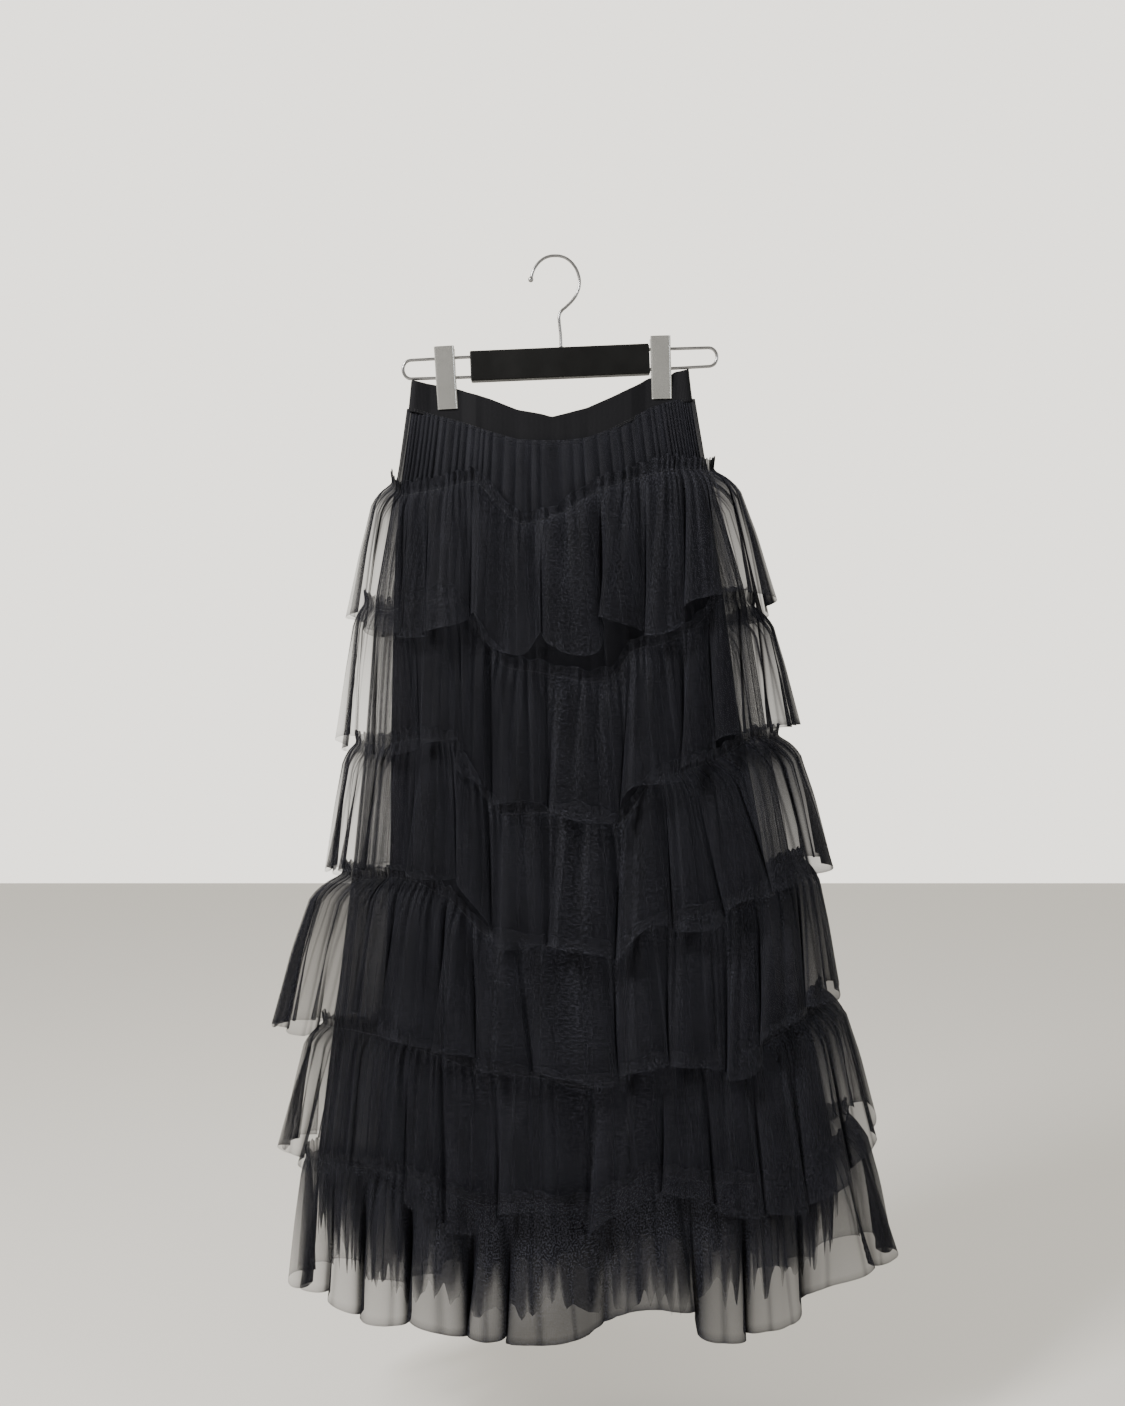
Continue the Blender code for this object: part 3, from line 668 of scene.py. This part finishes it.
def ruffle(tier):
    own = FOLDS[tier]
    middles, fines = int(own.count * MIDDLE_PER_LARGE), int(own.count * FINE_PER_LARGE)
    front, ends = front_lines(tier, HALF)
    back = back_lines(tier, HALF, front)
    large, middle = uneven_phase(own.count, 40 + tier), uneven_phase(middles, 60 + tier)
    fine = uneven_phase(fines, 80 + tier)
    strong = fold_strength(large, own.count, 100 + tier, 0.5, 1.25) * own.size
    strong_mid = fold_strength(middle, middles, 120 + tier, 0.35, 1.35)
    strong_fine = fold_strength(fine, fines, 140 + tier, 0.4, 1.3)
    tip = fold_strength(large, own.count, 200 + tier, -1.0, 1.0) * own.tip
    frill = 0.5 * np.sin(2 * np.pi * uneven_phase(FRILLS, 180 + tier)) * FRILL_HEIGHT
    drift = np.random.default_rng(160 + tier).uniform(-0.12, 0.12, 5)
    grid, plain = [], []
    for row, spread, off_f, off_b, a_large, a_mid, a_fine in zip(ROWS, *CURVES):
        slip = sum(d * np.sin(2 * np.pi * (k + 2) * RING) for k, d in enumerate(drift)) * row
        turn = large + slip
        longer = fold_strength(turn, own.count, 220 + tier, -1.0, 1.0, own.step) * own.play
        waves = a_large * strong * pipe(turn, own.rounding)
        waves += a_mid * strong_mid * pipe(middle + 1.6 * slip, 0.9)
        waves += a_fine * strong_fine * 0.5 * np.sin(2 * np.pi * fine)
        lean = a_large * strong * max(row, 0) ** 0.5 * (
            tip * (pipe(turn) + PIPE_LEVEL) - own.overhang * np.sin(2 * np.pi * turn))
        rows_here = []
        for is_front, span in SIDES:
            lines = front if is_front else back
            angle = lines[0] * (1 - spread) + lines[2] * spread
            z = lines[1] * (1 - row) + lines[3] * row
            if not is_front:
                angle, z = angle[::-1], z[::-1]
            angle, z = angle[:-1], z[:-1].copy()
            if row < HEADING_ROWS:
                z += frill[span]
            z -= longer[span] * max(row, 0) ** 2
            left = ends[0] * (1 - spread) + ends[2] * spread
            right = ends[1] * (1 - spread) + ends[3] * spread
            round_side = np.clip(np.sin(angle), 0, 1) ** 0.8
            off = (off_f if is_front else off_b) * round_side * own.further
            size = 1.0 if is_front else BACK_SIZE
            out = off + waves[span] * size * (SIDE_SIZE + (1 - SIDE_SIZE) * round_side)
            rows_here.append((
                ring_points(angle, left, right, z, BODY, is_front, out, lean[span] * size),
                ring_points(angle, left, right, z, BODY, is_front, off, 0.0),
            ))
        grid.append(np.concatenate([r[0] for r in rows_here]))
        plain.append(np.concatenate([r[1] for r in rows_here]))
    grid, plain = np.array(grid), np.array(plain)
    bunch = gathered_layers(grid, plain, down_curve(ROWS, GATHERED)[:, None])
    bunch *= 1 + own.crease * (crease(large) + 0.8 * crease(middle, 0.07))
    # painted shade: the net is made denser towards the right, and on the last ruffle in the
    # middle of the hem
    painted_shade_across = SHADE_ACROSS_HEM if tier == 6 else SHADE_ACROSS
    bunch *= own.layers * np.interp(grid[..., 0], *painted_shade_across)
    if tier == 6:
        bunch[:, HALF:] *= BACK_DENSITY
    strip = float(np.mean(front[1] - front[3])) * MM
    mesh = ring_mesh(f"ruffle_{tier}", grid, girth(grid[-1]) * 1.15, -ROWS * strip, bunch)
    thing = place(f"ruffle_{tier}", mesh, TULLE, "tulle",
                  (f"tier{tier}_front", f"tier{tier}_back"))
    height = strip * (ROWS[-1] - ROWS[0])
    cut = (round(area_of(mesh) * SMALL_GATHERS / height, 2), round(height, 3))
    print(thing.name, "cut", cut, "area", round(area_of(mesh), 3))
    return grid


ruffle_grids = [ruffle(tier) for tier in SEEN]

# %% [markdown]
# ## The gathered body of the skirt
# Under the waistband the net falls in narrow, straight pipes, which show down to the first
# ruffle. Lower down it only shows at the sides, beyond the lining, and under the last ruffle,
# where it hangs as dark strands of uneven length. The lining inside it is a plain tube.

# %% Gathered body and lining
BODY_ROWS = np.concatenate([np.linspace(0, 0.16, 12), np.linspace(0.19, 0.89, 16),
                            np.linspace(0.91, 1.0, 9)])
BODY_SETS = [(104, [(0, 1.0), (0.06, 2.0), (0.15, 2.3), (0.4, 1.4), (1, 0.8)], 0.9),
             (31, [(0, 0.2), (0.06, 0.9), (0.15, 1.7), (0.5, 3.4), (1, 3.8)], 0.8)]
BODY_GATHERED = [(0, 6.5), (0.1, 3.5), (0.3, 2.0), (0.5, 2.6), (0.68, 4.5), (0.85, 8.0),
                 (0.98, 8.0), (1, 7.0)]
LINING_SETS = [(19, [(0, 0.3), (0.2, 1.2), (1, 2.6)], 1.0)]
STRANDS = 360
STRANDS_END, STRANDS_PLAY, STRANDS_FADE, THINNEST = 1.005, 0.028, 0.03, 0.1
TUBE_TOP, TUBE_POWER, TUBE_BACK_SIZE = -165.0, 0.77, 0.75
SAG_ROWS, SAG_SHARES = (0.0, 0.2, 0.55, 0.8, 1.0), (1.0, 0.75, 0.35, 0.1, 0.0)
TUCK = 3.0


def under_band(x):
    return np.interp(x, BAND[:, 0], BAND[:, 2])


def tube(name, table, rows, dip, play, sets, ratio, material, slot, nodes, seed):
    """A tube of cloth from under the waistband down, with the folds that `sets` lists."""
    bottom = table[-1, 0]
    made, sharper = [], 0.0
    for k, (count, strength, sharp) in enumerate(sets):
        phase = uneven_phase(count, seed + k)
        sharper = sharper + crease(phase)
        made.append((fold_strength(phase, count, seed + 20 + k, 0.55, 1.3)
                     * pipe(phase, sharp), down_curve(rows, strength)))
    strands = uneven_phase(STRANDS, seed + 50, 0.6)
    uneven = fold_strength(strands, STRANDS, seed + 51, -1.0, 1.0) * play
    grid, plain = [], []
    for r, row in enumerate(rows):
        parts = []
        for is_front, span in SIDES:
            angle = np.linspace(0, np.pi, HALF + 1)
            level = TUBE_TOP + (bottom - TUBE_TOP) * row
            left, right = column(table, level, 1), column(table, level, 2)
            cos = -np.cos(angle)
            x = (left + right) / 2 + (right - left) / 2 * np.sign(cos) * np.abs(
                cos) ** TUBE_POWER
            sag = (under_band(x) - TUBE_TOP + TUCK) * np.interp(row, SAG_ROWS, SAG_SHARES)
            bow = np.clip(np.sin(angle), 0, 1) ** (2 / PLAN_POWER)
            z = level + sag - dip * bow * row ** 3
            if not is_front:
                angle, z = angle[::-1], z[::-1]
            angle, z = angle[:-1], z[:-1] + uneven[span] * row ** 6
            out = sum(w[span] * s[r] for w, s in made) * (1.0 if is_front else TUBE_BACK_SIZE)
            out = out * np.clip(np.sin(angle) * 3.0, 0.35, 1)
            parts.append((ring_points(angle, left, right, z, table, is_front, out, 0.0),
                          ring_points(angle, left, right, z, table, is_front, 0.0, 0.0)))
        grid.append(np.concatenate([p[0] for p in parts]))
        plain.append(np.concatenate([p[1] for p in parts]))
    grid, plain = np.array(grid), np.array(plain)
    bunch = None
    if ratio:
        bunch = gathered_layers(grid, plain, down_curve(rows, ratio)[:, None])
        ends_at = STRANDS_END + STRANDS_PLAY * fold_strength(
            strands, STRANDS, seed + 52, -1.0, 1.0)
        bunch *= 1 + sharper[None, :]
        bunch *= np.clip((ends_at[None, :] - rows[:, None]) / STRANDS_FADE, THINNEST, 1.0)
    drop = (TUBE_TOP - bottom) * MM
    mesh = ring_mesh(name, grid, girth(grid[-1]) * 1.2, -rows * drop, bunch)
    thing = place(name, mesh, material, slot, nodes)
    cut = (round(area_of(mesh) * 1.1 / drop, 2), round(drop, 3))
    print(name, "cut", cut, "area", round(area_of(mesh), 3))


tube("gathered_body", BODY, BODY_ROWS, 82, 20.0, BODY_SETS, BODY_GATHERED, TULLE, "tulle",
     ("tulle_base_front", "tulle_base_back"), 300)
tube("lining", LINING, np.linspace(0, 1, 24), 25, 0.0, LINING_SETS, None, LINING_CLOTH,
     "lining", ("lining_front", "lining_back"), 400)

# %% [markdown]
# ## The waistband
# A wide woven elastic, sewn into a ring. It is pinched flat where the clips grip it, opens a
# little between them, and sags. It is made as a thin ring like the rest and then given its
# thickness with Solidify and soft edges with Bevel.

# %% Waistband
GRIPS = (-109.5, 105.0)
GRIP_REACH, GRIP_EASE = 30, 14
PINCHED, OPEN = 1.9, 5.6
BAND_WALL = 1.5
LEAN_LEFT, LEAN_RIGHT, LEAN_FROM = -3.0, 4.0, 0.9


def waistband():
    steps = 220
    xs = np.linspace(BAND[0, 0], BAND[-1, 0], steps + 1)
    u = np.linspace(-1, 1, steps + 1)
    shares = np.concatenate([[0, 0.03, 0.07], np.linspace(0.14, 0.9, 8), [0.95, 1.0]])
    knots = np.arange(0, steps + 8, 7)
    loose = np.random.default_rng(9).uniform(-1, 1, len(knots))
    pucker = soften(np.interp(np.arange(steps + 1), knots, loose), 3)
    away = np.minimum(np.abs(xs - GRIPS[0]), np.abs(xs - GRIPS[1]))
    hold = np.clip((GRIP_REACH - away) / GRIP_EASE, 0, 1)
    top = soften(np.interp(xs, BAND[:, 0], BAND[:, 1]), 3)
    low = soften(under_band(xs), 4)
    slant = (LEAN_LEFT * np.clip(-u - LEAN_FROM, 0, None)
             + LEAN_RIGHT * np.clip(u - LEAN_FROM, 0, None)) * 10
    round_end = (1 - np.abs(u) ** 60) ** 0.5
    grid = []
    for share in shares:
        z = top * (1 - share) + low * share
        held = hold * (1.0 if share < 0.9 else 0.85)
        depth = OPEN * (1 - held) + PINCHED * held
        depth = depth + pucker * (0.25 + 0.5 * share) * (1 - held)
        y = depth * round_end
        x = xs + slant * share
        front = np.stack([x, -y, z], -1)[:-1]
        back = np.stack([x, y, z + 1.2 * (1 - share)], -1)[::-1][:-1]
        grid.append(np.concatenate([front, back]))
    grid = np.array(grid) * MM
    mesh = ring_mesh("waistband", grid, 0.62, -shares * 0.031)
    thing = add_object("waistband", mesh)
    wall = thing.modifiers.new("wall", "SOLIDIFY")
    wall.thickness = BAND_WALL * MM
    wall.offset = 0.0
    soften_edges(thing, 0.45, 50)
    sheet_area = area_of(mesh)
    thing = place("waistband", finished_mesh(thing, "waistband"), ELASTIC, "elastic", (
        "waistband_front_left", "waistband_front_right", "waistband_back_left",
        "waistband_back_right",
    ))
    print("waistband cut", round(sheet_area / 0.031, 2), "x 0.031 m")
    return grid


band_grid = waistband()

# %% [markdown]
# ## Stitches
# A row of gathering stitches holds every ruffle, and two rows hold the waistband. A stitch is
# tiny and there are thousands, so Geometry Nodes lay them: the seam is a path, resampled at the
# stitch pitch, with one short thread on each point turned along the path.

# %% Stitches by Geometry Nodes


def stitch_tree():
    tree = bpy.data.node_groups.new("lay_stitches", "GeometryNodeTree")
    face = tree.interface
    face.new_socket("Geometry", in_out="INPUT", socket_type="NodeSocketGeometry")
    for name, value in (("Stitch pitch", 0.004), ("Stitch length", 0.0026), ("Thread", 0.0003)):
        socket = face.new_socket(name, in_out="INPUT", socket_type="NodeSocketFloat")
        socket.default_value = value
    face.new_socket("Geometry", in_out="OUTPUT", socket_type="NodeSocketGeometry")
    nodes, links = tree.nodes, tree.links

    def add(kind, **values):
        made = nodes.new(kind)
        for key, value in values.items():
            setattr(made, key, value)
        return made

    start, end = add("NodeGroupInput"), add("NodeGroupOutput")
    path = add("GeometryNodeMeshToCurve")
    even = add("GeometryNodeResampleCurve", mode="LENGTH")
    along = add("GeometryNodeInputTangent")
    turn = add("FunctionNodeAlignRotationToVector", axis="X")
    uneven = add("FunctionNodeRandomValue", data_type="FLOAT")
    uneven.inputs["Seed"].default_value = 7
    uneven.inputs[2].default_value = 0.8
    uneven.inputs[3].default_value = 1.15
    size = add("ShaderNodeCombineXYZ")
    bead = add("GeometryNodeMeshUVSphere")
    bead.inputs["Segments"].default_value = 6
    bead.inputs["Rings"].default_value = 4
    bead.inputs["Radius"].default_value = 0.5
    shaped = add("GeometryNodeTransform")
    lay = add("GeometryNodeInstanceOnPoints")
    real = add("GeometryNodeRealizeInstances")
    look = add("GeometryNodeSetMaterial")
    look.inputs["Material"].default_value = THREAD
    links.new(start.outputs["Geometry"], path.inputs["Mesh"])
    links.new(path.outputs["Curve"], even.inputs["Curve"])
    links.new(start.outputs["Stitch pitch"], even.inputs["Length"])
    links.new(start.outputs["Stitch length"], size.inputs[0])
    links.new(start.outputs["Thread"], size.inputs[1])
    links.new(start.outputs["Thread"], size.inputs[2])
    links.new(bead.outputs["Mesh"], shaped.inputs["Geometry"])
    links.new(size.outputs[0], shaped.inputs["Scale"])
    links.new(along.outputs["Tangent"], turn.inputs["Vector"])
    links.new(even.outputs["Curve"], lay.inputs["Points"])
    links.new(shaped.outputs["Geometry"], lay.inputs["Instance"])
    links.new(turn.outputs["Rotation"], lay.inputs["Rotation"])
    links.new(uneven.outputs[1], lay.inputs["Scale"])
    links.new(lay.outputs["Instances"], real.inputs["Geometry"])
    links.new(real.outputs["Geometry"], look.inputs["Geometry"])
    links.new(look.outputs["Geometry"], end.inputs["Geometry"])
    return tree


STITCHES = stitch_tree()


def lay_stitches(name, paths, pitch, long, thick):
    """Runs the stitch tree on closed paths and places one plain piece."""
    verts, edges = [], []
    for path in paths:
        base = len(verts)
        verts += [tuple(p) for p in path]
        edges += [(base + k, base + (k + 1) % len(path)) for k in range(len(path))]
    mesh = bpy.data.meshes.new(name)
    mesh.from_pydata(verts, edges, [])
    holder = add_object(name, mesh)
    lay = holder.modifiers.new("lay", "NODES")
    lay.node_group = STITCHES
    sockets = {item.name: item.identifier for item in STITCHES.interface.items_tree
               if item.in_out == "INPUT"}
    for key, value in (("Stitch pitch", pitch), ("Stitch length", long), ("Thread", thick)):
        lay[sockets[key]] = value
    done = finished_mesh(holder, name)
    done.shade_smooth()
    place(name, done, THREAD, "tulle", ())
    print(name, len(done.polygons), "faces")


def pushed_out(grid, row, by):
    """A row of a ring, moved out from the skirt's middle by `by` metres."""
    path = grid[row, ::4].copy()
    ahead = np.roll(path, -1, 0) - np.roll(path, 1, 0)
    normal = np.stack([ahead[:, 1], -ahead[:, 0]], -1)
    normal /= np.maximum(np.linalg.norm(normal, axis=1, keepdims=True), 1e-9)
    path[:, :2] += normal * by
    return path


seam_row = int(np.argmin(np.abs(ROWS)))
lay_stitches("ruffle_stitches", [pushed_out(g, seam_row, 0.0003) for g in ruffle_grids],
             0.0042, 0.0028, 0.0004)
lay_stitches("waistband_stitches", [pushed_out(band_grid, row, 0.0009) for row in (-2, -3)],
             0.0032, 0.0022, 0.0004)

# %% [markdown]
# ## The hanger
# A plain trouser hanger: a closed loop of wire runs through a black bar, two clips slide on it,
# and a wire hook with a ball on its tip stands in the bar. The wires are bevelled curves, the
# bar a bevelled block, and each clip two pressed plates with a coiled spring between them.

# %% Metal and plastic


def make_chrome():
    t = Tree("polished_chrome", Metallic=0.8, Specular_Tint=(0.25, 0.25, 0.25, 1.0))
    haze = t.noise(t.spot(), 160.0, 4.0)
    t.colour(haze, (0.22, 0.22, 0.22), (0.34, 0.34, 0.34))
    t.link(t.ramp(haze, 0.16, 0.30), "Roughness")
    return t.mat


def make_clip_steel():
    t = Tree("brushed_clip_steel", Metallic=0.84)
    spot = t.spot()
    longer = t.node("ShaderNodeMapping", Vector=spot, Scale=(1.0, 1.0, 0.05))
    hair = t.noise(longer.outputs["Vector"], 900.0, 2.0)
    t.colour(t.noise(spot, 60.0, 3.0), (0.62, 0.62, 0.60), (0.74, 0.74, 0.72))
    t.link(t.ramp(hair, 0.11, 0.17), "Roughness")
    t.bump(hair, 0.012, 0.0001)
    return t.mat


def make_bar_black():
    t = Tree("satin_black_plastic", Specular_IOR_Level=0.16)
    spot = t.spot()
    wear = t.noise(spot, 35.0, 5.0)
    t.colour(wear, (0.003, 0.003, 0.003), (0.007, 0.007, 0.007))
    t.link(t.ramp(wear, 0.36, 0.54), "Roughness")
    t.bump(t.noise(spot, 900.0, 2.0), 0.12, 0.0001)
    return t.mat


CHROME, CLIP_STEEL, BAR_BLACK = make_chrome(), make_clip_steel(), make_bar_black()
print("hanger materials ready")

# %% Bar, rail and hook
TILT = math.radians(2.4)
MIDDLE = (4.0, -106.3)
BAR_SIZE, BAR_EDGE = (179.0, 12.0, 30.0), 1.5
RAIL_LENGTH, RAIL_HEIGHT, RAIL_CORNER, RAIL_R = 314.0, 18.6, 8.0, 1.6
HOOK_R = 1.5
HOOK_LINE = [
    (-24.6, -20.5), (-23.0, -14.5), (-20, -9), (-15.6, -4), (-9.5, -0.2), (-1, 1.25), (7, 0.1),
    (13, -3.2), (18.4, -9), (22.2, -17), (23.6, -26), (21.8, -34.5), (17.2, -42.5),
    (10.4, -49.6), (5.0, -54.6), (3.2, -58.8), (3.4, -66), (4.6, -78), (5.0, -94.2),
]
TIP, TIP_R = (-25.2, 0.0, -22.6), 2.7
COLLAR, COLLAR_R = [(5.0, 0, -89.5), (5.0, 0, -92.0)], 2.1
HANGER = Matrix.Translation(Vector((MIDDLE[0], 0.0, MIDDLE[1])) * MM) @ Matrix.Rotation(
    -TILT, 4, "Y")


def wire(name, points, radius, closed, resolution=4):
    """A round wire through the points, as a mesh."""
    curve = bpy.data.curves.new(name, "CURVE")
    curve.dimensions = "3D"
    curve.bevel_depth = radius * MM
    curve.bevel_resolution = 4
    curve.resolution_u = resolution
    curve.use_fill_caps = not closed
    spline = curve.splines.new("BEZIER")
    spline.bezier_points.add(len(points) - 1)
    for point, at in zip(spline.bezier_points, points):
        point.co = Vector(at) * MM
        point.handle_left_type = point.handle_right_type = "AUTO"
    spline.use_cyclic_u = closed
    holder = add_object(name, curve)
    bpy.context.view_layer.update()
    mesh = bpy.data.meshes.new_from_object(holder)
    bpy.data.objects.remove(holder, do_unlink=True)
    bpy.data.curves.remove(curve)
    mesh.shade_smooth()
    return mesh


def joined(name, meshes):
    """One smooth mesh from several, with doubled points merged."""
    body = bmesh.new()
    for mesh in meshes:
        body.from_mesh(mesh)
    bmesh.ops.remove_doubles(body, verts=body.verts, dist=1e-6)
    bmesh.ops.recalc_face_normals(body, faces=body.faces)
    made = mesh_of(body, name)
    made.shade_smooth()
    return made


def ball(name, centre, radius):
    body = bmesh.new()
    spot = Matrix.Translation(Vector(centre) * MM)
    bmesh.ops.create_uvsphere(body, u_segments=24, v_segments=14, radius=radius * MM, matrix=spot)
    return mesh_of(body, name)


def make_bar():
    body = bmesh.new()
    size = Matrix.Diagonal((*[v * MM for v in BAR_SIZE], 1.0))
    bmesh.ops.create_cube(body, size=1.0, matrix=size)
    bmesh.ops.bevel(body, geom=list(body.edges), offset=BAR_EDGE * MM, segments=4,
                    affect="EDGES", profile=0.5)
    mesh = mesh_of(body, "bar")
    mesh.shade_smooth()
    mesh.transform(HANGER)
    thing = place("hanger_bar_finished", mesh, BAR_BLACK, "bar_plastic", ("hanger_bar",))
    weighted = thing.modifiers.new("flat_faces", "WEIGHTED_NORMAL")
    weighted.keep_sharp = True


def make_rail():
    points = []
    for side, first in ((1, 90), (-1, -90)):
        for k in range(7):
            a = math.radians(first - 30 * k)
            x = side * (RAIL_LENGTH / 2 - RAIL_CORNER) + RAIL_CORNER * math.cos(a)
            points.append((x, 0.0, RAIL_HEIGHT / 2 * math.sin(a)))
    mesh = wire("rail", points, RAIL_R, True)
    mesh.transform(HANGER)
    place("rail_loop", joined("rail_loop", [mesh]), CHROME, "chrome", ("rail_wire",))


def make_hook():
    mesh = wire("hook", [(x, 0.0, z) for x, z in HOOK_LINE], HOOK_R, False, 8)
    tip, collar = ball("tip", TIP, TIP_R), wire("collar", COLLAR, COLLAR_R, False)
    made = joined("hook", [mesh, tip, collar])
    place("hook_with_ball", made, CHROME, "chrome", ("hook_wire", "hook_ball"))


make_bar()
make_rail()
make_hook()
print("bar, rail and hook placed")

# %% [markdown]
# ## The clips
# A clip is two narrow steel plates, each pressed with its long edges bent back as flanges. A
# plate is drawn as a cross-section swept down through a few rows and thickened, and a Bevel
# rounds it, so that the bent edges catch a bright line of light as on the real ones. The rows
# say how far down each is, how far out the plate's face is there and how deep its flanges are.

# %% Clips
CLIPS = {"left": (-111.6, -91.0, 3.4), "right": (103.9, -80.6, 1.6)}
CLIP_WIDTH, CLIP_WALL = 20.0, 0.9
CORNER, CORNER_END, CORNER_DROP, CROWN = 1.2, 1.7, 0.15, 0.12
CLIP_ROWS = [(0, 8.6, 1.6), (3, 8.3, 2.6), (8, 7.6, 3.4), (22, 6.9, 3.6), (35.5, 6.3, 3.4),
             (39.5, 6.2, 2.0), (52, 5.0, 0.9), (60, 4.4, 0.7), (62, 4.6, 0.5)]
COIL_TURNS, COIL_R, COIL_WIRE, COIL_STEPS = 5.5, 1.45, 0.45, 10
COIL_Z, COIL_INSET = -34.6, 3.0
PIN_R, PIN_PAST = 0.8, 2.6


def clip_plate(sign):
    hw = CLIP_WIDTH / 2
    body = bmesh.new()
    grid = []
    for down, face_y, flange in CLIP_ROWS:
        y = face_y - CLIP_WALL / 2
        profile = [(hw, y - flange - CORNER), (hw, y - CORNER), (hw - CORNER, y - CORNER_DROP),
                   (hw - CORNER_END, y), (hw * 0.3, y + CROWN)]
        profile = [(-px, py) for px, py in profile] + profile[::-1]
        grid.append([body.verts.new(Vector((px, sign * py, -down)) * MM) for px, py in profile])
    for upper, lower in zip(grid, grid[1:]):
        for k in range(len(upper) - 1):
            body.faces.new((upper[k], lower[k], lower[k + 1], upper[k + 1]))
    bmesh.ops.recalc_face_normals(body, faces=body.faces)
    bmesh.ops.solidify(body, geom=body.faces, thickness=CLIP_WALL * MM)
    bmesh.ops.recalc_face_normals(body, faces=body.faces)
    return mesh_of(body, "plate")


def clip_spring():
    half = CLIP_WIDTH / 2 - COIL_INSET
    steps = COIL_TURNS * COIL_STEPS
    points = []
    for k in range(int(steps) + 1):
        a = 2 * math.pi * k / COIL_STEPS
        points.append((-half + 2 * half * k / steps, COIL_R * math.cos(a),
                       COIL_Z + COIL_R * math.sin(a)))
    coil = wire("coil", points, COIL_WIRE, False, 2)
    end = half + PIN_PAST
    return [coil, wire("pin", [(-end, 0, COIL_Z), (end, 0, COIL_Z)], PIN_R, False)]


def make_clip(side):
    x, z, lean = CLIPS[side]
    spot = Matrix.Translation(Vector((x, 0.0, z)) * MM) @ Matrix.Rotation(
        -math.radians(lean), 4, "Y")
    for half, sign in (("front", -1.0), ("back", 1.0)):
        mesh = clip_plate(sign)
        mesh.transform(spot)
        name = f"clip_{side}_{half}"
        thing = place(f"{name}_plate", mesh, CLIP_STEEL, "chrome", (name,))
        soften_edges(thing, 0.3, 40)
        mesh.shade_smooth()
        thing.modifiers.new("flat_faces", "WEIGHTED_NORMAL")
    mesh = joined("spring", clip_spring())
    mesh.transform(spot)
    place(f"clip_{side}_coil", mesh, CHROME, "chrome", (f"clip_{side}_spring",))


for side in CLIPS:
    make_clip(side)
print("clips placed:", len(CLIPS))
